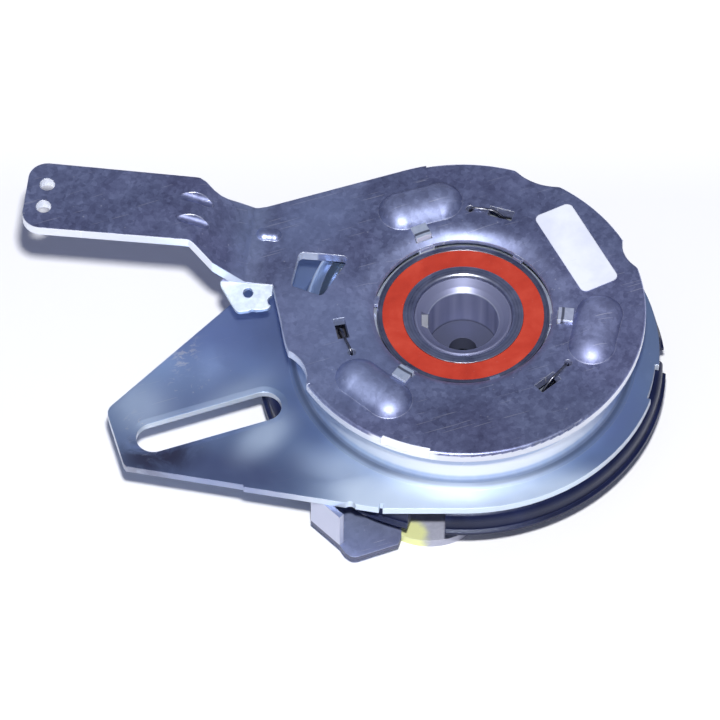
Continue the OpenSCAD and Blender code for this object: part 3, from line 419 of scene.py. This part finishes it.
def dull_zinc(name, dark, light, rough=0.42):
    """Plain grey plating of the pressed pieces inside."""
    middle = tuple((a + b) / 2 for a, b in zip(dark, light))
    m, base, shine, normal = plated(name, dark, middle, light, grain=0.7, rough=rough, metallic=0.75)
    return m.finish(base, shine, normal)


def bracket_material():
    """Blue-grey zinc; the ear's cut edge is darkened as painted shade, and its wall stays light."""
    m, base, shine, normal = plated(
        "bracket_zinc", (0.29, 0.34, 0.56), (0.37, 0.43, 0.67), (0.44, 0.51, 0.77), grain=0.7, rough=0.50,
        metallic=0.75, edge_highlight_color=(0.62, 0.66, 0.80), cut_face_color_and_highlight=(0.62, 0.64, 0.75))
    # Painted shade on the ear's cut edge
    rim = m.times(m.sheared(), m.past(m.split()[2], EAR_TOP + 0.3, EAR_TOP - 0.2))
    base = m.mix(m.times(rim, 0.92), base, (0.07, 0.08, 0.15))
    return m.finish(base, shine, normal)


def cup_material():
    """Pale zinc; the folded fingers have painted shade in the crease where they bend."""
    m, base, shine, normal = plated("cup_zinc", (0.50, 0.58, 0.74), (0.66, 0.74, 0.88), (0.80, 0.87, 0.97),
                                    grain=0.7, rough=0.38, metallic=0.6)
    # Painted shade in the crease of the fingers' fold
    crease = m.band(m.radius(), CREASE_R - 0.4, CREASE_R, CREASE_R + 0.6, CREASE_R + 1.0)
    crease = m.times(crease, m.past(m.split()[2], 7.0, 7.6))
    base = m.mix(m.times(crease, 0.85), base, (0.05, 0.06, 0.10))
    return m.finish(base, shine, normal)


def turned(name, dark, light, rough, rings=2600.0, bore=False):
    """Turned or ground steel, with faint rings round the axis and a painted highlight along rounded edges; a
    bore is duller and streaked along it, with painted shade at its deep end and a painted highlight on the
    keyway.
    """
    m = Material(name, 1.0)
    r, z = m.radius(), m.split()[2]
    profile = m.add("ShaderNodeCombineXYZ")
    m.put(profile.inputs[0], r)
    m.put(profile.inputs[1], z)
    fine = m.noise(rings, 2.0, 0.5, 0.0, profile.outputs[0])
    cloud = m.noise(120.0, 4.0, 0.6, 0.5)
    tone = m.plus(m.times(fine, 0.45), m.times(cloud, 0.55))
    base = m.ramp(tone, [(0.32, dark), (0.68, light)])
    specks = m.step(m.noise(1400.0, 3.0, 0.7), 0.66, 0.72)
    base = m.mix(m.times(specks, 0.4), base, (0.92, 0.92, 0.95))
    normal, edge = m.rounded(0.35 * MM)
    # Painted highlight along the rounded edges
    base = m.mix(m.times(edge, 0.6), base, (0.90, 0.90, 0.94))
    shine = m.plus(m.times(tone, 0.22), rough - 0.11)
    if bore:
        # Dished mouth, broached wall with painted shade at its deep end, and a painted highlight on the keyway
        mouth = m.past(z, -0.6, 0.2)
        inside = m.times(m.past(r, BORE_R + 0.05, BORE_R), m.past(z, -0.2, -0.6))
        streak = m.noise(240.0, 2.0, 0.5, 0.0, m.mapped(scale=(1.0, 1.0, 0.05)))
        wall = m.ramp(streak, [(0.30, (0.20, 0.22, 0.38)), (0.50, (0.28, 0.30, 0.48)),
                               (0.70, (0.38, 0.40, 0.58))])
        wall = m.mix(m.past(z, -15.0, -16.4), wall, (0.10, 0.11, 0.18))
        base = m.mix(mouth, base, (0.25, 0.265, 0.40))
        base = m.mix(inside, base, wall)
        keyway = m.times(m.band(r, BORE_R + 0.1, BORE_R + 0.3, BORE_R + 2.9, BORE_R + 3.1),
                         m.band(z, -17.0, -16.5, -0.4, 0.2))
        base = m.mix(keyway, base, (0.86, 0.88, 0.93))
        shine = m.plus(shine, m.times(inside, 0.20))
        m.metal(m.most(inside, m.most(keyway, m.times(mouth, 0.8))), 1.0, 0.5)
    return m.finish(base, shine, m.bump(tone, 0.12, 0.12 * MM, normal))


def seal_material(name, color, dark, light):
    """Moulded rubber seal with clouds, dust and faint rings."""
    m = Material(name)
    cloud = m.noise(95.0, 4.0, 0.6, 0.3)
    base = m.ramp(cloud, [(0.30, dark), (0.5, color), (0.74, light)])
    dust = m.step(m.noise(1300.0, 4.0, 0.75), 0.64, 0.72)
    base = m.mix(m.times(dust, 0.25), base, (0.85, 0.55, 0.48))
    ridge = m.math("SINE", m.times(m.radius(), 2 * math.pi / (RING_GAP * MM)))
    grain = m.noise(2400.0, 2.0, 0.5)
    height = m.plus(m.times(ridge, 0.05), m.times(grain, 0.3))
    normal, _ = m.rounded(0.25 * MM)
    shine = m.plus(m.times(cloud, 0.2), 0.30)
    return m.finish(base, shine, m.bump(height, 0.25, 0.15 * MM, normal))


def guard_material():
    """Black moulded plastic with a fine grain and a painted highlight along its rounded edges."""
    m = Material("guard_plastic")
    m.bsdf.inputs["Specular IOR Level"].default_value = 0.35
    m.bsdf.inputs["Specular Tint"].default_value = (0.70, 0.78, 1.0, 1.0)
    cloud = m.noise(80.0, 4.0, 0.6)
    base = m.ramp(cloud, [(0.3, (0.004, 0.006, 0.026)), (0.7, (0.009, 0.013, 0.050))])
    dust = m.step(m.noise(900.0, 5.0, 0.75, 0.4), 0.60, 0.70)
    base = m.mix(m.times(dust, 0.06), base, (0.16, 0.18, 0.34))
    grain = m.noise(1700.0, 3.0, 0.6)
    normal, edge = m.rounded(0.5 * MM)
    # Painted highlight along the rounded edges
    base = m.mix(m.times(edge, 0.30), base, (0.10, 0.12, 0.28))
    shine = m.plus(m.times(grain, 0.22), 0.22)
    return m.finish(base, shine, m.bump(grain, 0.35, 0.15 * MM, normal))


def carrier_material():
    """Light grey coated steel with a painted highlight along its rounded edges and a yellow paint mark on one
    lobe.
    """
    m = Material("carrier_coat", 0.25)
    cloud = m.noise(60.0, 5.0, 0.6, 0.4)
    fine = m.noise(900.0, 4.0, 0.65)
    tone = m.plus(m.times(cloud, 0.65), m.times(fine, 0.35))
    base = m.ramp(tone, [(0.30, (0.33, 0.34, 0.43)), (0.70, (0.52, 0.53, 0.63))])
    # The mark is a ball that is drawn out in height, with a ragged edge
    mark = m.add("ShaderNodeVectorMath", operation="DISTANCE")
    m.put(mark.inputs[0], m.mapped(scale=(1.0, 1.0, MARK_SHARE)))
    mark.inputs[1].default_value = (MARK_AT[0] * MM, MARK_AT[1] * MM, MARK_AT[2] * MM * MARK_SHARE)
    wobble = m.times(m.noise(260.0, 4.0, 0.6), 3.0 * MM)
    paint = m.past(m.plus(mark.outputs["Value"], wobble), 9.6, 5.6)
    paint = m.times(paint, m.step(fine, 0.30, 0.40, 0.75, 1.0))
    base = m.mix(paint, base, (0.82, 0.85, 0.40))
    normal, edge = m.rounded(0.4 * MM)
    # Painted highlight along the rounded edges
    base = m.mix(m.times(edge, 0.35), base, (0.66, 0.67, 0.74))
    shine = m.plus(m.times(tone, 0.25), 0.34)
    return m.finish(base, shine, m.bump(fine, 0.25, 0.15 * MM, normal))


def friction_material():
    """Brown lining with fibres and brass glints."""
    m = Material("friction_lining")
    fibre = m.noise(420.0, 4.0, 0.7, 1.5, m.mapped(scale=(1.0, 3.0, 1.0), turn=(0, 0, 0.6)))
    base = m.ramp(fibre, [(0.35, (0.030, 0.026, 0.022)), (0.55, (0.075, 0.062, 0.052)),
                          (0.72, (0.20, 0.15, 0.09))])
    glint = m.step(m.cells(700.0)["Distance"], 0.12, 0.05)
    base = m.mix(m.times(glint, 0.5), base, (0.55, 0.40, 0.20))
    normal, _ = m.rounded(0.3 * MM)
    return m.finish(base, m.plus(m.times(fibre, 0.3), 0.6), m.bump(fibre, 0.5, 0.3 * MM, normal))


def spring_material():
    """Dull grey spring steel."""
    m = Material("spring_wire", 1.0)
    tone = m.noise(800.0, 3.0, 0.6)
    base = m.ramp(tone, [(0.35, (0.10, 0.10, 0.12)), (0.65, (0.34, 0.35, 0.40))])
    return m.finish(base, m.plus(m.times(tone, 0.25), 0.22), m.bump(tone, 0.2, 0.05 * MM))


def label_material():
    """Bare white film, a little scuffed, with painted shade along its rounded edges."""
    m = Material("label_film")
    cloud = m.noise(75.0, 4.0, 0.6, 0.3)
    base = m.ramp(cloud, [(0.30, (0.72, 0.75, 0.86)), (0.62, (0.84, 0.87, 0.96))])
    scuff = m.times(m.scratches(-70, 90.0, 26.0, 0.70), m.step(m.noise(110.0, 3.0), 0.45, 0.6))
    base = m.mix(m.times(scuff, 0.35), base, (0.55, 0.57, 0.66))
    normal, edge = m.rounded(0.5 * MM)
    # Painted shade along the rounded edges
    base = m.mix(m.times(edge, 0.35), base, (0.60, 0.62, 0.72))
    wave = m.noise(140.0, 2.0, 0.5)
    return m.finish(base, m.plus(m.times(cloud, 0.2), 0.28), m.bump(wave, 0.15, 0.2 * MM, normal))


# What each piece wears

dress(["lever_plate"], lever_material())
dress(["torque_plate"], torque_material())
dress(["bearing_cup"], cup_material())
dress(["side_bracket"], bracket_material())
dress(["brake_plate", "driven_disc", "drive_disc", "spring_retainer"],
      dull_zinc("disc_zinc", (0.16, 0.16, 0.20), (0.36, 0.37, 0.42), 0.40))
dress(["blade_carrier"], carrier_material())
dress(["guard_segments"], guard_material())
dress(["crank_hub"], turned("hub_turned", (0.34, 0.40, 0.56), (0.56, 0.62, 0.80), 0.42, bore=True))
dress(["upper_bearing_inner_ring", "lower_bearing_inner_ring", "lower_bearing_outer_ring"],
      turned("ring_ground", (0.28, 0.30, 0.40), (0.70, 0.73, 0.86), 0.30))
dress(["upper_bearing_outer_ring"], turned("ring_dark", (0.10, 0.11, 0.17), (0.46, 0.48, 0.60), 0.34))
dress(["bearing_spacer"], turned("spacer_turned", (0.30, 0.30, 0.34), (0.60, 0.60, 0.66), 0.3))
dress(["upper_bearing_balls", "lower_bearing_balls", "ramp_balls"],
      turned("ball_steel", (0.55, 0.55, 0.60), (0.80, 0.80, 0.84), 0.14, 900.0))
dress(["upper_bearing_cage", "lower_bearing_cage"],
      dull_zinc("cage_steel", (0.26, 0.26, 0.29), (0.50, 0.50, 0.54)))
dress(["upper_bearing_seal_top", "upper_bearing_seal_bottom"],
      seal_material("seal_orange", (0.50, 0.044, 0.021), (0.42, 0.034, 0.016), (0.58, 0.066, 0.034)))
dress(["lower_bearing_seal_top", "lower_bearing_seal_bottom"],
      seal_material("seal_black", (0.020, 0.020, 0.024), (0.012, 0.012, 0.014), (0.040, 0.040, 0.046)))
dress(["brake_pads", "drive_lining"], friction_material())
spring_steel = spring_material()
dress(["return_springs", "wave_spring", "hub_circlip", "carrier_circlip"], spring_steel)
dress(["label"], label_material())


# Return springs of round wire, hooked into the torque plate and over the lever plate's bridge


def on_circle(angle, z):
    """Point on the springs' route."""
    return Vector((SPRING_R * math.cos(math.radians(angle)), SPRING_R * math.sin(math.radians(angle)), z))


def spring_route():
    """Middle line of the wire: up from the torque plate, through the coils and over the lever plate."""
    low = TRACK_TOP + WIRE / 2 + 0.1
    high = LEVER_TOP + WIRE / 2 + 0.1
    middle = (TRACK_TOP + LEVER_BOT) / 2 - 1.6
    reach = (COIL - WIRE) / 2
    start = [(ANCHOR, TRACK_TOP - 2.4), (ANCHOR, TRACK_TOP - 0.4), (ANCHOR + 0.8, low), (ANCHOR + 3.8, low),
             (COIL_FROM - 4.4, low - 0.3), (COIL_FROM - 2.2, middle)]
    first, last = on_circle(COIL_FROM, middle), on_circle(COIL_TO, middle)
    out = Vector(((last - first).y, -(last - first).x, 0)).normalized()
    steps = COILS * PER_COIL
    coils = []
    for i in range(steps + 1):
        grow = min(1.0, min(i, steps - i) / 10.0)
        turn = 2 * math.pi * COILS * i / steps
        coils.append(first.lerp(last, i / steps) + out * (grow * reach * math.sin(turn))
                     + Vector((0, 0, grow * reach * math.cos(turn))))
    end = [(HOOK - 9.1, middle), (HOOK - 5.9, middle + 0.6), (HOOK - 2.5, LEVER_BOT + 1),
           (HOOK + 0.9, LEVER_TOP - 0.6), (HOOK + 3.9, high), (HOOK + 7.5, high), (HOOK_END - 2, high),
           (HOOK_END - 0.2, LEVER_TOP - 0.5), (HOOK_END, LEVER_BOT + 0.8)]
    return [on_circle(*place) for place in start], coils, [on_circle(*place) for place in end]


def softened(points):
    """Points along a Catmull-Rom curve through the given ones."""
    steps = 4
    out = []
    for i in range(len(points) - 1):
        a, b = points[max(i - 1, 0)], points[i]
        c, d = points[i + 1], points[min(i + 2, len(points) - 1)]
        for k in range(steps):
            t = k / steps
            out.append(0.5 * (2 * b + (c - a) * t + (2 * a - 5 * b + 4 * c - d) * t * t
                              + (3 * b - a - 3 * c + d) * t * t * t))
    return out + [points[-1]]


def make_spring(index, material):
    """One spring as a mesh, stretched between the lifter and the lever."""
    start, coils, end = spring_route()
    route = softened(start + coils[:1]) + coils[1:-1] + softened(coils[-1:] + end)
    turn = Matrix.Rotation(math.radians(120 * index), 4, "Z")
    curve = bpy.data.curves.new("spring_route", "CURVE")
    curve.dimensions = "3D"
    curve.bevel_depth = WIRE / 2 * MM
    curve.bevel_resolution = 2
    curve.use_fill_caps = True
    line = curve.splines.new("POLY")
    line.points.add(len(route) - 1)
    for point, place in zip(line.points, route):
        point.co = (*(turn @ place * MM), 1.0)
    rod = bpy.data.objects.new("spring_rod", curve)
    bpy.context.scene.collection.objects.link(rod)
    mesh = bpy.data.meshes.new_from_object(rod.evaluated_get(bpy.context.evaluated_depsgraph_get()))
    bpy.data.objects.remove(rod)
    spring = bpy.data.objects.new(f"return_spring_{index + 1}", mesh)
    bpy.context.scene.collection.objects.link(spring)
    mesh.materials.clear()
    mesh.materials.append(material)
    mesh.polygons.foreach_set("use_smooth", [True] * len(mesh.polygons))
    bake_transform(spring)
    return spring


springs = [make_spring(i, spring_steel) for i in range(3)]
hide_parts("return_springs")


# Floor, surroundings, camera and lamp


def make_floor():
    """Pale paper just under the part, which glows where it is seen or mirrored, more so away from the part."""
    size = 4.0
    corners = [(x * size, y * size, 0) for x, y in ((-1, -1), (1, -1), (1, 1), (-1, 1))]
    mesh = bpy.data.meshes.new("floor")
    mesh.from_pydata(corners, [], [(0, 1, 2, 3)])
    floor = bpy.data.objects.new("floor", mesh)
    floor.location = (0, 0, cad_bounds[0][2] - 0.1 * MM)
    bpy.context.scene.collection.objects.link(floor)
    m = Material("floor_paper")
    m.bsdf.inputs["Base Color"].default_value = (0.90, 0.90, 0.92, 1.0)
    m.bsdf.inputs["Roughness"].default_value = 0.9
    m.bsdf.inputs["Specular IOR Level"].default_value = 0.0
    path = m.add("ShaderNodeLightPath")
    seen = m.most(path.outputs["Is Camera Ray"], path.outputs["Is Glossy Ray"])
    x, y, _ = m.split()
    behind = m.towards(LOOK, x, y)
    away = m.most(m.step(m.radius(), 0.19, 0.32, 0.02, 0.30), m.step(behind, 0.07, 0.17, 0.0, 0.22))
    glow = m.add("ShaderNodeEmission")
    glow.inputs["Color"].default_value = (0.94, 0.95, 1.0, 1.0)
    m.put(glow.inputs["Strength"], m.times(seen, away))
    total = m.add("ShaderNodeAddShader")
    m.put(total.inputs[0], m.bsdf.outputs[0])
    m.put(total.inputs[1], glow.outputs[0])
    m.put(m.tree.nodes["Material Output"].inputs["Surface"], total.outputs[0])
    mesh.materials.append(m.data)


def make_world():
    """White to the camera, a dim bluish room for all other rays, lightest half way up."""
    world = bpy.data.worlds.new("studio")
    world.use_nodes = True
    bpy.context.scene.world = world
    n = Nodes(world.node_tree, "Generated")
    room = n.ramp(n.split()[2], [(0.0, (0.07, 0.08, 0.13)), (0.62, (0.15, 0.17, 0.27)),
                                 (0.95, (0.10, 0.11, 0.17))])
    seen = n.add("ShaderNodeLightPath").outputs["Is Camera Ray"]
    n.put(n.tree.nodes["Background"].inputs["Color"], n.mix(seen, room, (1.0, 1.0, 1.0)))


def view_axes(look, down):
    """Right, up and forward of a view with a direction in plan and an angle down."""
    forward = Vector((math.cos(down) * math.cos(look), math.cos(down) * math.sin(look), -math.sin(down)))
    right = Vector((math.sin(look), -math.cos(look), 0))
    return right, right.cross(forward), forward


def aim(name, data, look, down, target, distance):
    """Put a camera or lamp into the scene so that it looks at its target from a distance."""
    right, up, forward = view_axes(look, down)
    obj = bpy.data.objects.new(name, data)
    turn = Matrix((right, up, -forward)).transposed().to_4x4()
    obj.matrix_world = Matrix.Translation(target - forward * distance) @ turn
    bpy.context.scene.collection.objects.link(obj)
    return obj


def make_camera():
    """The photo's view, with the pixel size of the photo at the part's axis."""
    distance, sensor = 3.5, 36.0
    camera = bpy.data.cameras.new("camera")
    camera.sensor_width = sensor
    camera.lens = sensor / PHOTO * distance / PIXEL
    camera.clip_end = 20.0
    right, up, _ = view_axes(LOOK, DOWN)
    column, row = AXIS_PIXEL
    middle = Vector((0, 0, AXIS_Z * MM)) - (right * (column - PHOTO / 2) + up * (PHOTO / 2 - row)) * PIXEL
    bpy.context.scene.camera = aim("camera", camera, LOOK, DOWN, middle, distance)


def make_lamp():
    """One small soft lamp near the camera's direction and a little steeper, for the photo's flash."""
    lamp = bpy.data.lights.new("key", "AREA")
    lamp.shape = "DISK"
    lamp.size = 0.14
    lamp.energy = 76.0
    aim("key", lamp, LOOK + math.radians(1.0), math.radians(60.0), Vector((-0.03, 0, -0.02)), 2.6)


make_floor()
make_world()
make_camera()
make_lamp()

bpy.context.scene.view_settings.view_transform = "Standard"
